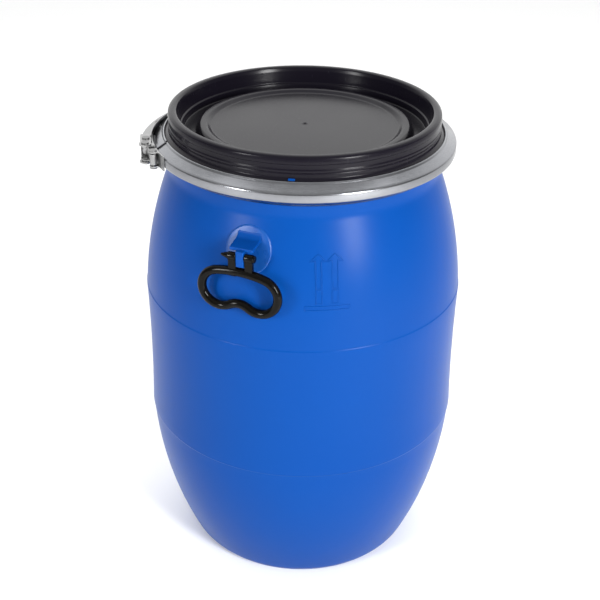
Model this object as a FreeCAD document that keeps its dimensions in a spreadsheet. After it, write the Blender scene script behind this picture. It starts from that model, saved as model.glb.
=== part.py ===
import FreeCAD, Part
import math
import os
import re

import Sketcher
from FreeCAD import Placement, Rotation, Vector

# A 60 litre open head drum: a blown shell with a black lid, a hidden seal, a split steel clamp
# band with a lever closure, and two drop handles on pins.
# Frame: millimetres, +Z up, origin on the floor under the axis. The handles are at the front (-Y)
# and the back (+Y). Bearings are degrees about +Z from the front, growing towards +X.

doc = FreeCAD.newDocument("OpenHeadDrum")

# ---------------------------------------------------------------- sizes
# One row per driving size: alias, value, what it is.
SIZES = [
    ("wall", 3.2, "wall of the blown shell"),
    ("push_up", 4.0, "height of the raised middle of the base"),
    ("base_top", 7.5, "inside floor of the shell"),
    ("foot_inner", 128.0, "inner radius of the ring the drum stands on"),
    ("foot_outer", 146.5, "outer radius of the ring the drum stands on"),
    ("heel_radius", 153.6, "shell radius where the base corner ends"),
    ("heel_top", 7.5, "height where the base corner ends"),
    ("heel_round", 8.0, "radius of the base corner"),
    ("belly_radius", 199.2, "shell radius just under the middle band"),
    ("belly_curve", 530.0, "radius of the curve from base to middle band"),
    ("band_radius", 200.0, "largest radius, at the lower edge of the middle band"),
    ("band_bottom", 199.2, "height of the lower edge of the middle band"),
    ("band_top", 374.4, "height of the upper edge of the middle band"),
    ("band_top_radius", 199.0, "radius of the middle band at its upper edge"),
    ("band_hollow", 2250.0, "radius of the shallow hollow curve of the band"),
    ("ledge", 1.2, "height of the small steps that edge the band"),
    ("shoulder_radius", 198.3, "shell radius just above the middle band"),
    ("shoulder_curve", 480.0, "radius of the shoulder curve"),
    ("shoulder_end", 166.2, "shell radius at the top of the shoulder"),
    ("shoulder_top", 521.0, "height of the top of the shoulder"),
    ("neck_radius", 164.5, "outer radius of the straight neck"),
    ("neck_start", 530.0, "height where the straight neck starts"),
    ("neck_round", 24.7, "radius between shoulder and neck"),
    ("flange_radius", 179.9, "outer radius of the flanges of shell and lid"),
    ("flange_top", 555.6, "top of the shell's flange"),
    ("seal_land", 558.8, "top of the bead that the seal sits on"),
    ("tab_bearing", 15.3, "bearing of the locating tab on the rim"),
    ("tab_width", 7.6, "width of the locating tab"),
    ("tab_top", 572.2, "top of the locating tab"),
    ("crest_radius", 181.9, "outer radius of the clamp band's flat web"),
    ("middle_height", 556.0, "mid height of the clamp band and lever"),
    ("web_half", 5.0, "half the height of the clamp band's web"),
    ("lip_radius", 167.6, "radius of the clamp band's lips"),
    ("lip_rise", 8.5, "height of each sloping flank of the clamp band"),
    ("steel", 1.2, "thickness of the clamp band"),
    ("flank_gap", 0.35, "upright gap between clamp band and flanges"),
    ("split_bearing", -51.0, "bearing of the split in the clamp band"),
    ("split_angle", 1.0, "angle of the split in the clamp band"),
    ("collar_radius", 162.8, "outer radius of the lid's stacking collar"),
    ("collar_inner", 151.4, "inner radius of the stacking collar at its top"),
    ("collar_top", 596.2, "top of the stacking collar"),
    ("panel_top", 574.0, "top of the lid's middle panel"),
    ("panel_edge", 114.0, "radius of the flat middle panel"),
    ("bead_inner", 118.0, "inner radius of the raised ring's crown"),
    ("bead_outer", 125.0, "outer radius of the raised ring's crown"),
    ("groove_inner", 129.6, "inner radius of the groove's floor"),
    ("groove_outer", 146.0, "outer radius of the groove's floor"),
    ("step_radius", 149.2, "outer radius of the small step inside the collar"),
    ("bead_top", 577.4, "top of the raised ring round the panel"),
    ("groove_floor", 567.0, "floor of the groove inside the collar"),
    ("lid_wall", 3.4, "wall of the lid"),
    ("seal_inner", 165.8, "inner radius of the seal"),
    ("seal_outer", 170.8, "outer radius of the seal"),
    ("seal_height", 4.0, "height of the seal"),
    ("plug_radius", 160.6, "outer radius of the lid's skirt in the neck"),
    ("plug_bottom", 546.0, "lower edge of the lid's skirt"),
    ("pivot_bearing", -53.5, "bearing of the lever's pivot"),
    ("pivot_radius", 192.8, "radius of the lever's pivot from the drum axis"),
    ("link_bearing", -58.2, "bearing of the pin that joins lever and link"),
    ("link_radius", 190.0, "radius of that pin from the drum axis"),
    ("anchor_bearing", -47.0, "bearing of the pin that holds the link to the band"),
    ("anchor_radius", 188.5, "radius of that pin from the drum axis"),
    ("rivet_radius", 2.5, "shank radius of the closure's rivets"),
    ("rivet_head", 4.4, "head radius of the closure's rivets"),
    ("running_gap", 0.06, "radial clearance of every turning fit"),
    ("bracket_steel", 1.6, "thickness of brackets, ears and link"),
    ("bracket_half", 9.5, "half the height of the two brackets"),
    ("ear_radius", 4.6, "radius of the brackets' ears about their rivets"),
    ("link_half", 6.5, "half the height of the link"),
    ("lever_steel", 1.5, "thickness of the lever"),
    ("cheek_half", 11.4, "half the height of the lever's flat cheeks"),
    ("cheek_radius", 7.2, "radius of the cheeks' round ends about the pivot"),
    ("cheek_depth", 12.4, "depth of the cheeks towards the drum"),
    ("lever_arc", 171.0, "outer radius of the curve the lever follows"),
    ("lever_centre_x", 26.6, "centre of that curve, along the pivot's bearing"),
    ("lever_centre_y", 7.5, "centre of that curve, square to the pivot's bearing"),
    ("flank_depth", 13.0, "depth of the lever's sloping flanks towards the drum"),
    ("handle_reach", 198.8, "distance of the handle pins from the drum axis"),
    ("handle_height", 488.6, "height of the handle pins"),
    ("bar_radius", 5.2, "radius of the handle's round bar"),
    ("loop_middle", 43.6, "drop from pin to the middle of the loop"),
    ("loop_round", 22.3, "centre-line radius of the loop's two ends"),
    ("loop_spread", 23.4, "half the distance between the two ends' centres"),
    ("loop_arch", 130.0, "centre-line radius of the loop's arched top"),
    ("grip_dip", 20.3, "centre-line radius of the hollow in the grip"),
    ("pin_radius", 2.6, "shank radius of the handle pins"),
    ("eye_radius", 4.7, "outer radius of the handle's eyes"),
    ("ear_inner", 5.2, "distance of the handle's ears from its middle"),
    ("ear_width", 9.2, "width of each handle ear"),
    ("ear_depth", 6.4, "depth of each handle ear"),
    ("stem_half", 4.6, "half the width of the lug's stem"),
    ("stem_front", 203.0, "distance of the stem's front from the drum axis"),
    ("stem_bottom", 477.6, "lower end of the stem"),
    ("shelf_half", 14.2, "half the width of the lug's shelf"),
    ("shelf_front", 197.8, "distance of the shelf's front from the drum axis"),
    ("shelf_top", 498.5, "top of the shelf at its front"),
    ("shelf_thick", 4.0, "thickness of the shelf"),
    ("shelf_depth", 15.3, "depth of the shelf's flat top"),
    ("shelf_fall", 2.3, "fall of the shelf's flat top towards its front"),
    ("shelf_round", 10.0, "radius of the hollow between the shelf's top and the shoulder"),
    ("shelf_meet", 172.2, "distance from the drum axis where that hollow meets the shoulder"),
    ("shelf_root", 9.2, "height of that meeting above the shelf's front edge"),
    ("disc_radius", 27.0, "radius of the raised disc round the lug"),
    ("disc_height", 487.5, "height of the middle of that disc"),
    ("relief", 0.8, "how far raised marks stand out of the wall"),
    ("mark_bearing", 28.3, "bearing of the upright-transport symbol"),
    ("mark_top", 488.0, "height of the symbol's arrow tips"),
    ("mark_pitch", 18.6, "distance between the symbol's two arrows"),
]

sheet = doc.addObject("Spreadsheet::Sheet", "Sizes")
for row, (alias, value, meaning) in enumerate(SIZES, start=1):
    sheet.set(f"A{row}", meaning)
    sheet.set(f"B{row}", str(value))
    sheet.setAlias(f"B{row}", alias)
doc.recompute()

ORIGIN = Vector(0, 0, 0)
UP = Vector(0, 0, 1)


def size(expression):
    """The value, in millimetres or degrees, of an expression over the sheet's aliases."""
    return float(sheet.evalExpression(expression))


def bound(expression):
    """The same expression as other objects write it, with the sheet's name before each alias."""
    known = {alias for alias, _, _ in SIZES}
    return re.sub(r"[a-z_]+", lambda m: "Sizes." + m[0] if m[0] in known else m[0], expression)


# Slope of the clamp band's flanks, and how much longer a flank is upright than square to itself.
SLOPE = "lip_rise / (crest_radius - lip_radius)"
STRETCH = f"sqrt(1 + ({SLOPE})^2)"
BAND_LOW = "(middle_height - web_half)"
BAND_HIGH = "(middle_height + web_half)"


def under_flange(radius):
    """Height of the shell's flange underside, just clear of the clamp band's lower flank."""
    return f"{BAND_LOW} - (crest_radius - {radius}) * {SLOPE} + steel * {STRETCH} + flank_gap"


def over_flange(radius):
    """Height of the lid's flange, just clear of the clamp band's upper flank."""
    return f"{BAND_HIGH} + (crest_radius - {radius}) * {SLOPE} - steel * {STRETCH} - flank_gap"


# ---------------------------------------------------------------- ways of making a piece
def origin_plane(body, role):
    return next(f for f in body.Origin.OriginFeatures if f.Role == role)


def new_sketch(body, name, role):
    sketch = body.newObject("Sketcher::SketchObject", name)
    sketch.AttachmentSupport = [(origin_plane(body, role), "")]
    sketch.MapMode = "FlatFace"
    return sketch


def curve_centre(start, end, radius, turn):
    """Centre of the shorter arc from start to end that turns left (turn 1) or right (-1)."""
    chord = end - start
    rise = math.sqrt(max(radius**2 - chord.Length**2 / 4, 0))
    side = Vector(-chord.y, chord.x, 0).normalize()
    return (start + end) * 0.5 + side * rise * turn


def outline(sketch, corners, curves):
    """Closes an outline through corners (pairs of expressions). curves maps the number of an
    edge to (radius expression, turn), for an edge that is an arc."""
    points = [Vector(size(across), size(along), 0) for across, along in corners]
    first = len(sketch.Geometry)
    ends = []
    for number, start in enumerate(points):
        end = points[(number + 1) % len(points)]
        if number in curves:
            radius, turn = size(curves[number][0]), curves[number][1]
            centre = curve_centre(start, end, radius, turn)
            low, high = (start, end) if turn > 0 else (end, start)
            angles = [math.atan2(p.y - centre.y, p.x - centre.x) for p in (low, high)]
            if angles[1] < angles[0]:
                angles[1] += 2 * math.pi
            sketch.addGeometry(Part.ArcOfCircle(Part.Circle(centre, UP, radius), *angles))
            ends.append((1, 2) if turn > 0 else (2, 1))
        else:
            sketch.addGeometry(Part.LineSegment(start, end))
            ends.append((1, 2))
    joints = []
    for number in range(len(points)):
        before = (number - 1) % len(points)
        joints.append(
            Sketcher.Constraint(
                "Coincident",
                first + before,
                ends[before][1],
                first + number,
                ends[number][0],
            )
        )
    sketch.addConstraint(joints)
    for number, (across, along) in enumerate(corners):
        place = first + number, ends[number][0]
        hold(sketch, "DistanceX", -2, place, across)
        hold(sketch, "DistanceY", -1, place, along)
    for number, (radius, _) in curves.items():
        index = sketch.addConstraint(
            Sketcher.Constraint("Radius", first + number, size(radius))
        )
        sketch.setExpression(f"Constraints[{index}]", bound(radius))


def hold(sketch, kind, axis, place, expression):
    """Binds one coordinate of a point; a point on an axis is held on that axis."""
    value = size(expression)
    if abs(value) < 1e-9:
        sketch.addConstraint(Sketcher.Constraint("PointOnObject", *place, axis))
        return
    index = sketch.addConstraint(Sketcher.Constraint(kind, *place, value))
    sketch.setExpression(f"Constraints[{index}]", bound(expression))


def lathe(name, corners, curves=None, angle="360", start="0"):
    """A body turned about Z from an outline of (radius, height) pairs, starting at an angle."""
    body = doc.addObject("PartDesign::Body", name)
    sketch = new_sketch(body, name + "_outline", "XZ_Plane")
    outline(sketch, corners, curves or {})
    turned = body.newObject("PartDesign::Revolution", name + "_turned")
    turned.Profile = sketch
    turned.ReferenceAxis = (sketch, ["V_Axis"])
    turned.Angle = size(angle)
    turned.setExpression("Angle", bound(angle))
    body.Placement = Placement(ORIGIN, Rotation(UP, size(start)))
    body.setExpression("Placement.Rotation.Angle", bound(start))
    return body


def place(piece, x="0", y="0", z="0"):
    """Binds where a piece's own origin stands."""
    for axis, expression in zip("xyz", (x, y, z)):
        setattr(piece.Placement.Base, axis, size(expression))
        piece.setExpression(f"Placement.Base.{axis}", bound(expression))
    return piece


def block(name, low, high):
    """A box between two corners, each three expressions."""
    piece = doc.addObject("Part::Box", name)
    for side, start, end in zip(("Length", "Width", "Height"), low, high):
        piece.setExpression(side, bound(f"({end}) - ({start})"))
    return place(piece, *low)


def rod(name, radius, low, high, x="0", y="0"):
    """An upright cylinder between two heights."""
    piece = doc.addObject("Part::Cylinder", name)
    piece.setExpression("Radius", bound(radius))
    piece.setExpression("Height", bound(f"({high}) - ({low})"))
    return place(piece, x, y, low)


def side_rod(name, radius, low, high, y="0", z="0"):
    """A cylinder along X between two values of x."""
    piece = rod(name, radius, low, high)
    piece.setExpression("Placement.Base.z", None)
    piece.Placement = Placement(ORIGIN, Rotation(Vector(0, 1, 0), 90))
    return place(piece, low, y, z)


def joined(name, pieces):
    whole = doc.addObject("Part::MultiFuse", name)
    whole.Shapes = pieces
    return whole


def cut(name, base, tool):
    whole = doc.addObject("Part::Cut", name)
    whole.Base = base
    whole.Tool = tool
    return whole


def shared(name, pieces):
    whole = doc.addObject("Part::MultiCommon", name)
    whole.Shapes = pieces
    return whole


def turn_to(piece, bearing):
    """Turns a piece drawn along +X so that its +X points along a bearing."""
    piece.Placement = Placement(ORIGIN, Rotation(UP, size(f"{bearing} - 90")))
    piece.setExpression("Placement.Rotation.Angle", bound(f"{bearing} - 90"))
    return piece


NODES = []


def node(piece, label):
    piece.Label = label
    NODES.append(piece)
    return piece


# ---------------------------------------------------------------- shell
def shoulder_solid(name, offset):
    """A solid as wide as the shoulder plus an offset, to trim what is moulded onto it."""
    return lathe(
        name,
        [
            ("0", "band_top + ledge"),
            (f"shoulder_radius + {offset}", "band_top + ledge"),
            (f"shoulder_end + {offset}", "shoulder_top"),
            ("0", "shoulder_top"),
        ],
        {1: ("shoulder_curve", 1)},
    )


def shell():
    """The blown shell: base with a push-up, belly, middle band, shoulder, neck and flange."""
    return lathe(
        "shell",
        [
            ("0", "push_up"),
            ("foot_inner - push_up", "push_up"),
            ("foot_inner", "0"),
            ("foot_outer", "0"),
            ("heel_radius", "heel_top"),
            ("belly_radius", "band_bottom - ledge"),
            ("band_radius", "band_bottom"),
            ("band_top_radius", "band_top"),
            ("shoulder_radius", "band_top + ledge"),
            ("shoulder_end", "shoulder_top"),
            ("neck_radius", "neck_start"),
            ("neck_radius", under_flange("neck_radius")),
            ("flange_radius", under_flange("flange_radius")),
            ("flange_radius", "flange_top"),
            ("seal_outer - 0.6", "flange_top"),
            ("seal_outer - 1", "seal_land"),
            ("seal_inner + 1", "seal_land"),
            ("seal_inner + 0.6", "flange_top"),
            ("neck_radius - wall + 1", "flange_top"),
            ("neck_radius - wall", "flange_top - 1"),
            ("neck_radius - wall", "neck_start"),
            ("shoulder_end - wall + 0.2", "shoulder_top - 1.2"),
            ("shoulder_radius - wall", "band_top"),
            ("band_radius - wall - 0.2", "band_bottom"),
            ("heel_radius - wall + 0.5", "heel_top + wall"),
            ("foot_outer - wall", "base_top"),
            ("0", "base_top"),
        ],
        {
            3: ("heel_round", 1),
            4: ("belly_curve", 1),
            6: ("band_hollow", -1),
            8: ("shoulder_curve", 1),
            9: ("neck_round", -1),
            20: ("neck_round + wall", 1),
            21: ("shoulder_curve - wall", -1),
            22: ("band_hollow + wall", 1),
            23: ("belly_curve - wall", -1),
            24: ("heel_round", -1),
        },
    )


def lug(name, half_turns):
    """A handle lug: a sloping shelf over an upright stem that is bored for the handle pin."""
    inner = "-shoulder_end"
    stem = block(
        name + "_stem",
        ("-stem_half", "-stem_front", "stem_bottom"),
        ("stem_half", inner, "shelf_top - 1"),
    )
    shelf = doc.addObject("PartDesign::Body", name + "_shelf")
    side_view = new_sketch(shelf, name + "_shelf_side", "YZ_Plane")
    outline(
        side_view,
        [
            ("0 - shelf_front", "shelf_top - shelf_thick"),
            ("0 - shelf_front", "shelf_top"),
            ("0 - shelf_front + shelf_depth", "shelf_top + shelf_fall"),
            ("0 - shelf_meet", "shelf_top + shelf_root"),
            ("0 - shoulder_end", "shelf_top + shelf_root"),
            ("0 - shoulder_end", "shelf_top"),
        ],
        {2: ("shelf_round", 1)},
    )
    slab = shelf.newObject("PartDesign::Pad", name + "_shelf_slab")
    slab.Profile = side_view
    slab.Midplane = True
    slab.Length = size("shelf_half * 2")
    slab.setExpression("Length", bound("shelf_half * 2"))
    disc = rod(name + "_disc", "disc_radius", "0", "shelf_front", y="0")
    disc.setExpression("Placement.Base.z", None)
    disc.Placement = Placement(ORIGIN, Rotation(Vector(1, 0, 0), 90))
    place(disc, z="disc_height")
    patch = shared(name + "_patch", [disc, shoulder_solid(name + "_face", "relief")])
    bore = side_rod(
        name + "_bore",
        "pin_radius + 0.02",
        "-shelf_half",
        "shelf_half",
        y="-handle_reach",
        z="handle_height",
    )
    bare = joined(name + "_outside", [stem, shelf, patch])
    trimmed = cut(name + "_trimmed", bare, shoulder_solid(name + "_core", "0 - wall / 2"))
    whole = cut(name, trimmed, bore)
    whole.Placement = Placement(ORIGIN, Rotation(UP, 180 * half_turns))
    return whole


def arrow(sketch, middle, inset):
    """One hollow arrow of the upright-transport symbol, or its inner outline when inset."""
    tip = f"mark_top - {inset} * 1.5"
    shoulder = f"mark_top - 8.4 - {inset} * 0.2"
    half = f"(9.6 - {inset} * 1.9)"
    shaft = f"(3.4 - {inset})"
    outline(
        sketch,
        [
            (middle, tip),
            (f"{middle} - {half}", shoulder),
            (f"{middle} - {shaft}", shoulder),
            (f"{middle} - {shaft}", f"mark_top - 38 + {inset}"),
            (f"{middle} + {shaft}", f"mark_top - 38 + {inset}"),
            (f"{middle} + {shaft}", shoulder),
            (f"{middle} + {half}", shoulder),
        ],
        {},
    )


def upright_mark():
    """Two hollow arrows, a foot under each and a bar, raised on the shoulder."""
    body = doc.addObject("PartDesign::Body", "mark_prisms")
    sketch = new_sketch(body, "mark_outline", "XZ_Plane")
    for middle in ("-mark_pitch / 2", "mark_pitch / 2"):
        for inset in ("0", "1.5"):
            arrow(sketch, middle, inset)
        for inset in ("0", "1.5"):
            outline(
                sketch,
                [
                    (f"{middle} - (3.4 - {inset})", f"mark_top - 40 - {inset}"),
                    (f"{middle} - (3.4 - {inset})", f"mark_top - 55 + {inset}"),
                    (f"{middle} + (3.4 - {inset})", f"mark_top - 55 + {inset}"),
                    (f"{middle} + (3.4 - {inset})", f"mark_top - 40 - {inset}"),
                ],
                {},
            )
    for inset in ("0", "1.3"):
        outline(
            sketch,
            [
                (f"-25.5 + {inset}", f"mark_top - 57.5 - {inset}"),
                (f"-25.5 + {inset}", f"mark_top - 63 + {inset}"),
                (f"25.5 - {inset}", f"mark_top - 63 + {inset}"),
                (f"25.5 - {inset}", f"mark_top - 57.5 - {inset}"),
            ],
            {},
        )
    pad = body.newObject("PartDesign::Pad", "mark_pad")
    pad.Profile = sketch
    pad.Length = size("band_radius")
    pad.setExpression("Length", bound("band_radius"))
    raised = shared("mark_raised", [body, shoulder_solid("mark_face", "relief")])
    whole = cut("mark", raised, shoulder_solid("mark_core", "0 - wall / 2"))
    whole.Placement = Placement(ORIGIN, Rotation(UP, size("mark_bearing")))
    whole.setExpression("Placement.Rotation.Angle", bound("mark_bearing"))
    return whole


def drum_body():
    """The shell with what is moulded in one piece with it."""
    tab = turn_to(
        joined(
            "tab",
            [
                block(
                    "tab_block",
                    ("neck_radius - 1", "-tab_width / 2", "flange_top - 1"),
                    ("seal_inner - 0.5", "tab_width / 2", "tab_top"),
                ),
                block(
                    "tab_root",
                    ("neck_radius - 1", "-tab_width / 2", "flange_top - 2"),
                    ("seal_inner", "tab_width / 2", "flange_top"),
                ),
            ],
        ),
        "tab_bearing",
    )
    parts = [shell(), lug("lug_front", 0), lug("lug_rear", 1), upright_mark(), tab]
    return node(joined("drum", parts), "drum_body")


# ---------------------------------------------------------------- lid and seal
def lid():
    """The moulded lid: flange under the clamp band, stacking collar, groove and raised panel."""
    turned = lathe(
        "lid_turned",
        [
            ("0", "panel_top"),
            ("panel_edge", "panel_top"),
            ("bead_inner", "bead_top"),
            ("bead_outer", "bead_top"),
            ("groove_inner - 2", "bead_top - 2.4"),
            ("groove_inner", "groove_floor"),
            ("groove_outer", "groove_floor"),
            ("step_radius - 2", "groove_floor + 8"),
            ("step_radius", "groove_floor + 9"),
            ("collar_inner", "collar_top - 3"),
            ("collar_inner + 3", "collar_top"),
            ("collar_radius - 3", "collar_top"),
            ("collar_radius", "collar_top - 3"),
            ("collar_radius", over_flange("collar_radius")),
            ("flange_radius", over_flange("flange_radius")),
            ("flange_radius", "flange_top + 0.6"),
            ("seal_outer + 2", "flange_top + 0.6"),
            ("seal_outer + 0.3", "seal_land"),
            ("seal_outer + 0.3", "seal_land + seal_height + 0.2"),
            ("seal_inner - 0.3", "seal_land + seal_height + 0.2"),
            ("seal_inner - 0.3", "seal_land"),
            ("neck_radius + 0.4", "flange_top + 0.6"),
            ("plug_radius", "flange_top + 0.6"),
            ("plug_radius", "plug_bottom"),
            ("plug_radius - 2.8", "plug_bottom"),
            ("plug_radius - 2.8", "groove_floor - 6"),
            ("collar_radius - lid_wall", "groove_floor"),
            ("collar_radius - lid_wall", "collar_top - lid_wall"),
            ("collar_inner + lid_wall + 0.4", "collar_top - lid_wall"),
            ("step_radius + lid_wall", "groove_floor + 7"),
            ("groove_outer + lid_wall", "groove_floor - lid_wall"),
            ("groove_inner - 3.2", "groove_floor - lid_wall"),
            ("bead_outer - 1", "panel_top - lid_wall"),
            ("0", "panel_top - lid_wall"),
        ],
        {9: ("3", -1), 11: ("3", -1)},
    )
    notch = turn_to(
        joined(
            "notch",
            [
                block(
                    "notch_upper",
                    ("collar_radius + 0.3", "-tab_width / 2 - 0.9", "flange_top"),
                    ("seal_inner - 0.2", "tab_width / 2 + 0.9", "collar_top"),
                ),
                block(
                    "notch_lower",
                    ("collar_radius + 0.3", "-tab_width / 2 - 0.9", "flange_top"),
                    ("seal_inner", "tab_width / 2 + 0.9", "seal_land + 1"),
                ),
            ],
        ),
        "tab_bearing",
    )
    return node(cut("lid_whole", turned, notch), "lid")


def lid_seal():
    """The ring of foam rubber in the lid's channel, resting on the shell's bead."""
    return node(
        lathe(
            "seal",
            [
                ("seal_inner", "seal_land + 0.1"),
                ("seal_outer", "seal_land + 0.1"),
                ("seal_outer", "seal_land + seal_height"),
                ("seal_inner", "seal_land + seal_height"),
            ],
        ),
        "lid_seal",
    )


# ---------------------------------------------------------------- clamp band and lever closure
def clamp_band():
    """The split hoop of rolled steel whose sloping flanks draw lid and shell together."""
    return node(
        lathe(
            "band",
            [
                ("lip_radius", f"{BAND_LOW} - lip_rise"),
                ("crest_radius", BAND_LOW),
                ("crest_radius", BAND_HIGH),
                ("lip_radius", f"{BAND_HIGH} + lip_rise"),
                ("lip_radius", f"{BAND_HIGH} + lip_rise - steel * {STRETCH}"),
                ("crest_radius - steel", f"{BAND_HIGH} + steel * ({SLOPE} - {STRETCH})"),
                ("crest_radius - steel", f"{BAND_LOW} - steel * ({SLOPE} - {STRETCH})"),
                ("lip_radius", f"{BAND_LOW} - lip_rise + steel * {STRETCH}"),
            ],
            angle="360 - split_angle",
            start="split_bearing + split_angle / 2 - 90",
        ),
        "clamp_band",
    )


def bracket(name, bearing, reach, back, forward):
    """A plate welded on the band, with two bored ears out to the bearing and reach of a pin.
    back and forward are how far the plate runs either way, in degrees from the pin."""
    low, high = "(middle_height - bracket_half)", "(middle_height + bracket_half)"
    plate = lathe(
        name + "_plate",
        [
            ("crest_radius + 0.05", f"{low} + 0.7"),
            ("crest_radius + 0.05 + bracket_steel", f"{low} + 0.7"),
            ("crest_radius + 0.05 + bracket_steel", f"{high} - 0.7"),
            ("crest_radius + 0.05", f"{high} - 0.7"),
        ],
        angle=f"{back} + {forward}",
        start=f"0 - {back}",
    )
    ears = []
    for side, base in (("low", low), ("high", f"{high} - bracket_steel")):
        top = f"{base} + bracket_steel"
        ears.append(
            block(
                f"{name}_{side}_root",
                ("crest_radius + 0.5", "-ear_radius", base),
                (reach, "ear_radius", top),
            )
        )
        ears.append(rod(f"{name}_{side}_ear", "ear_radius", base, top, x=reach))
    bore = rod(name + "_bore", "rivet_radius + 0.02", low, high, x=reach)
    return turn_to(cut(name, joined(name + "_solid", [plate, *ears]), bore), bearing)


def headed_rivet(name, low, high, head_up, x, y="0"):
    """A rivet shank between two heights with a head above (1), below (-1) or at both ends (0)."""
    parts = [rod(name + "_shank", "rivet_radius", low, high, x=x, y=y)]
    if head_up >= 0:
        parts.append(rod(name + "_top", "rivet_head", high, f"{high} + 1.6", x=x, y=y))
    if head_up <= 0:
        parts.append(rod(name + "_foot", "rivet_head", f"{low} - 1.6", low, x=x, y=y))
    return joined(name, parts)


def stub_rivets(name, bearing, reach, out):
    """Two short rivets on one axis, one through each pair of cheeks, with clear space between."""
    ear = "(bracket_half - bracket_steel)"
    upper = headed_rivet(
        name + "_upper", f"middle_height + {ear}", f"middle_height + {out}", 1, reach
    )
    lower = headed_rivet(
        name + "_lower", f"middle_height - {out}", f"middle_height - {ear}", -1, reach
    )
    return turn_to(joined(name, [upper, lower]), bearing)


# Where the pin of the link stands, drawn with the lever's pivot on +X.
LINK_TURN = "(link_bearing - pivot_bearing) * 1deg"
LINK_X = f"link_radius * cos({LINK_TURN})"
LINK_Y = f"link_radius * sin({LINK_TURN})"


def lever_section(name, corners, angle, start):
    """A stretch of the lever, turned about the centre of the lever's own curve."""
    piece = lathe(name, corners, angle=angle, start=start)
    return place(piece, "lever_centre_x", "lever_centre_y")


def lever():
    """The pressed lever: a vee channel over the band, flat cheeks and an open web at its pivot."""
    low, high = "(middle_height - cheek_half)", "(middle_height + cheek_half)"
    back = "(lever_arc - lever_steel)"
    drop = "(flank_depth * lip_rise / (crest_radius - lip_radius))"
    rise = f"lever_steel * ({SLOPE} - {STRETCH})"
    vee = lever_section(
        "lever_vee",
        [
            ("lever_arc - flank_depth", f"{BAND_LOW} - {drop}"),
            ("lever_arc", BAND_LOW),
            ("lever_arc", BAND_HIGH),
            ("lever_arc - flank_depth", f"{BAND_HIGH} + {drop}"),
            ("lever_arc - flank_depth", f"{BAND_HIGH} + {drop} - lever_steel * {STRETCH}"),
            (back, f"{BAND_HIGH} + {rise}"),
            (back, f"{BAND_LOW} - {rise}"),
            ("lever_arc - flank_depth", f"{BAND_LOW} - {drop} + lever_steel * {STRETCH}"),
        ],
        "34",
        "-44.4",
    )
    channel = lever_section(
        "lever_channel",
        [
            ("lever_arc - cheek_depth", low),
            ("lever_arc", low),
            ("lever_arc", high),
            ("lever_arc - cheek_depth", high),
            ("lever_arc - cheek_depth", f"{high} - lever_steel"),
            (back, f"{high} - lever_steel"),
            (back, f"{low} + lever_steel"),
            ("lever_arc - cheek_depth", f"{low} + lever_steel"),
        ],
        "8.2",
        "-13",
    )
    cheeks, holes = [], []
    for side, base in (("low", low), ("high", f"{high} - lever_steel")):
        top = f"{base} + lever_steel"
        cheeks.append(rod(f"lever_{side}_end", "cheek_radius", base, top, x="pivot_radius"))
        cheeks.append(
            block(
                f"lever_{side}_cheek",
                ("pivot_radius - cheek_radius", "-12", base),
                ("pivot_radius + 4.2", "0", top),
            )
        )
    holes.append(
        rod("lever_pivot_hole", "rivet_radius + running_gap", low, high, x="pivot_radius")
    )
    holes.append(rod("lever_link_hole", "rivet_radius + 0.02", low, high, x=LINK_X, y=LINK_Y))
    holes.append(
        block(
            "lever_window",
            ("pivot_radius", "-26", "middle_height - link_half - 1"),
            ("band_radius + 9", "-6", "middle_height + link_half + 1"),
        )
    )
    slot = block(
        "lever_slot", ("-1.5", "-3", "middle_height"), ("1.5", "3", "middle_height + cheek_half")
    )
    dots = [
        rod(f"lever_dot_{n}", "1", "middle_height", "middle_height + cheek_half", y=str(y))
        for n, y in enumerate((-6.7, 6.7))
    ]
    seal_holes = joined("lever_seal_holes", [slot, *dots])
    seal_holes.Placement = Placement(
        Rotation(UP, -23).multVec(Vector(size("crest_radius"), 0, 0)), Rotation(UP, -26)
    )
    solid = joined("lever_solid", [vee, channel, *cheeks])
    whole = cut("lever_whole", solid, joined("lever_holes", [*holes, seal_holes]))
    return node(turn_to(whole, "pivot_bearing"), "lever")


def toggle_link():
    """The short strap, rolled into an eye at each end, that pulls the band's free end in."""
    low, high = "(middle_height - link_half)", "(middle_height + link_half)"
    eye = "(rivet_radius + running_gap + bracket_steel)"
    pins = [
        Rotation(UP, size(f"{bearing} - 90")).multVec(Vector(size(reach), 0, 0))
        for bearing, reach in (("link_bearing", "link_radius"), ("anchor_bearing", "anchor_radius"))
    ]
    span = pins[1] - pins[0]
    solid = joined(
        "link_solid",
        [
            rod("link_eye", eye, low, high),
            rod("link_far_eye", eye, low, high, x=str(span.Length)),
            block(
                "link_strap",
                ("0", "-bracket_steel / 2", low),
                (str(span.Length), "bracket_steel / 2", high),
            ),
        ],
    )
    bores = joined(
        "link_bores",
        [
            rod("link_bore", "rivet_radius + running_gap", low, high),
            rod("link_far_bore", "rivet_radius + running_gap", low, high, x=str(span.Length)),
        ],
    )
    whole = cut("link_whole", solid, bores)
    whole.Placement = Placement(pins[0], Rotation(UP, math.degrees(math.atan2(span.y, span.x))))
    return node(whole, "toggle_link")


def closure():
    """Everything that works the clamp band."""
    clamp_band()
    node(bracket("lever_side", "pivot_bearing", "pivot_radius", "13.5", "1.8"), "lever_bracket")
    node(bracket("link_side", "anchor_bearing", "anchor_radius", "3", "6"), "link_bracket")
    lever()
    toggle_link()
    node(
        stub_rivets("pivot_stubs", "pivot_bearing", "pivot_radius", "cheek_half"),
        "lever_pivot_rivets",
    )
    node(
        stub_rivets("anchor_stubs", "anchor_bearing", "anchor_radius", "bracket_half"),
        "link_anchor_rivets",
    )
    through = headed_rivet(
        "link_pin", "middle_height - cheek_half", "middle_height + cheek_half", 0, LINK_X, LINK_Y
    )
    node(turn_to(through, "pivot_bearing"), "link_rivet")


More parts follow.
